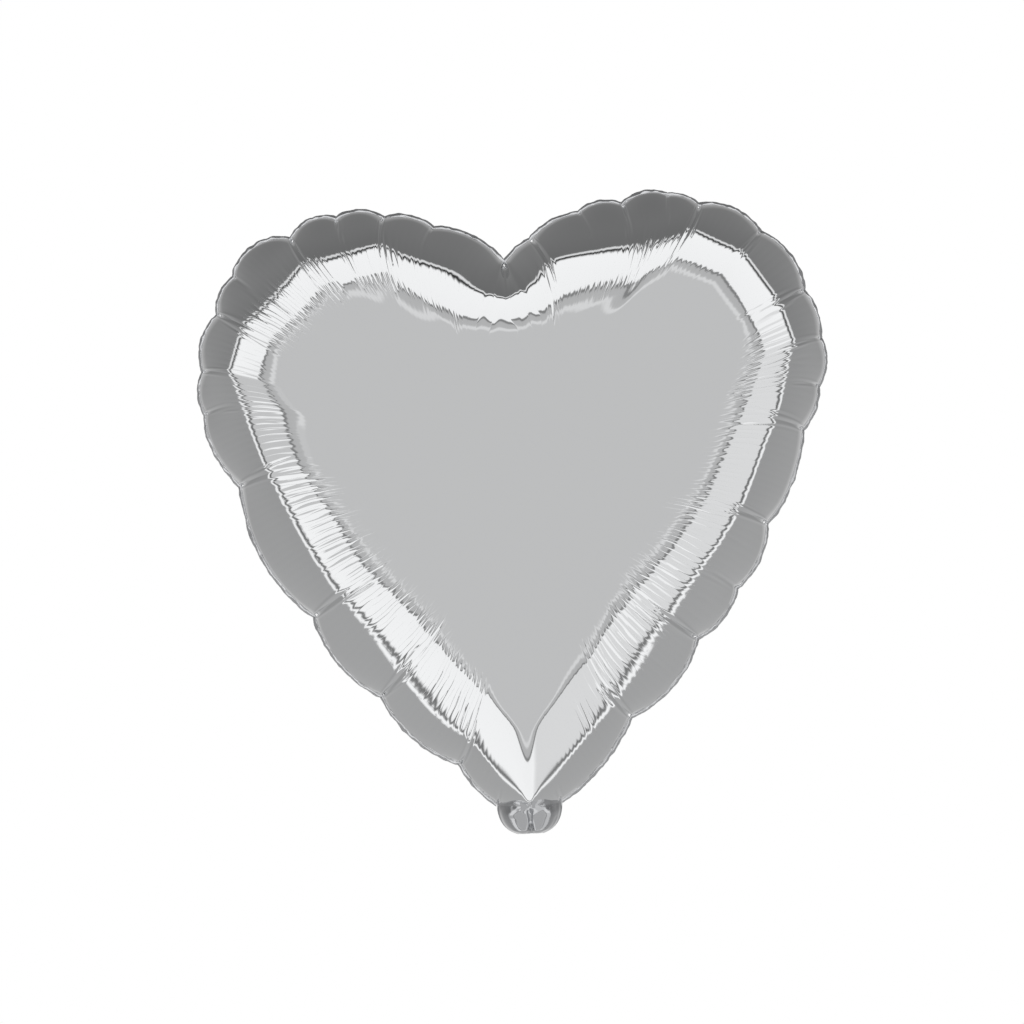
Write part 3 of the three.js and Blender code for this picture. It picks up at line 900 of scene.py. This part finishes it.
def makeWorld():
    world = bpy.data.worlds.new("studioRoom")
    scene.world = world
    world.use_nodes = True
    tree = world.node_tree
    tree.nodes.clear()
    direction = addNode(tree, "ShaderNodeTexCoord").outputs["Generated"]
    split = addNode(tree, "ShaderNodeSeparateXYZ", [direction])
    flip = addNode(tree, "ShaderNodeMath", [split.outputs["Y"], -1], operation="MULTIPLY")
    angle = addNode(tree, "ShaderNodeMath", [flip.outputs[0]], operation="ARCCOSINE").outputs[0]
    across = addNode(tree, "ShaderNodeMath", [angle], operation="SINE")
    up = addNode(tree, "ShaderNodeMath", [split.outputs["Z"], across.outputs[0]],
                 operation="DIVIDE").outputs[0]
    # the ring of lights is narrower towards the floor
    narrowing = addNode(tree, "ShaderNodeMapRange", {"Value": up, "From Min": -0.6, "From Max": -0.93,
                        "To Min": 0, "To Max": studio["floorNarrowing"]}, interpolation_type="SMOOTHSTEP")
    inner = addNode(tree, "ShaderNodeMath", [math.pi / 2, angle], operation="SUBTRACT", use_clamp=True)
    pull = addNode(tree, "ShaderNodeMath", [inner.outputs[0], narrowing.outputs[0]], operation="MULTIPLY")
    bent = addNode(tree, "ShaderNodeMath", [angle, pull.outputs[0]], operation="SUBTRACT")
    share = addNode(tree, "ShaderNodeMath", [bent.outputs[0], math.pi], operation="DIVIDE", use_clamp=True)
    around = addNode(tree, "ShaderNodeMath", [split.outputs["Z"], split.outputs["X"]], operation="ARCTAN2")
    turn = addNode(tree, "ShaderNodeMapRange", {"Value": around.outputs[0], "From Min": -math.pi,
                   "From Max": math.pi})
    ring = addNode(tree, "ShaderNodeValToRGB", [share.outputs[0]])
    lamps = addNode(tree, "ShaderNodeValToRGB", [turn.outputs[0]])
    for ramp, stops, whole in ((ring, studio["ring"], 180), (lamps, studio["lamps"], 1)):
        elements = ramp.color_ramp.elements
        for _ in stops[2:]:
            elements.new(0.5)
        for element, (place, _) in zip(elements, stops):
            element.position = place / whole
        for element, (_, value) in zip(elements, stops):
            element.color = (value, value, value, 1)
    outside = addNode(tree, "ShaderNodeMapRange", {"Value": share.outputs[0], "From Min": 97 / 180,
                      "From Max": 99 / 180}).outputs[0]
    cap = addNode(tree, "ShaderNodeMath", [lamps.outputs["Color"], outside], operation="ADD")
    light = addNode(tree, "ShaderNodeMath", [ring.outputs["Color"], cap.outputs[0]], operation="MINIMUM")
    # behind the ring the room is lighter towards the floor
    glow = addNode(tree, "ShaderNodeMath", [up, outside], operation="MULTIPLY")
    room = addNode(tree, "ShaderNodeMath", [glow.outputs[0], -studio["floorGlow"], light.outputs[0]],
                   operation="MULTIPLY_ADD")
    toEye = addNode(tree, "ShaderNodeLightPath").outputs["Is Camera Ray"]
    seen = addNode(tree, "ShaderNodeMix", {0: toEye, 6: room.outputs[0], 7: (1, 1, 1, 1)}, data_type="RGBA")
    background = addNode(tree, "ShaderNodeBackground", {"Color": seen.outputs[2]})
    addNode(tree, "ShaderNodeOutputWorld", {"Surface": background.outputs[0]})


makeWorld()
makeFloor()
scene.view_settings.view_transform = "Standard"
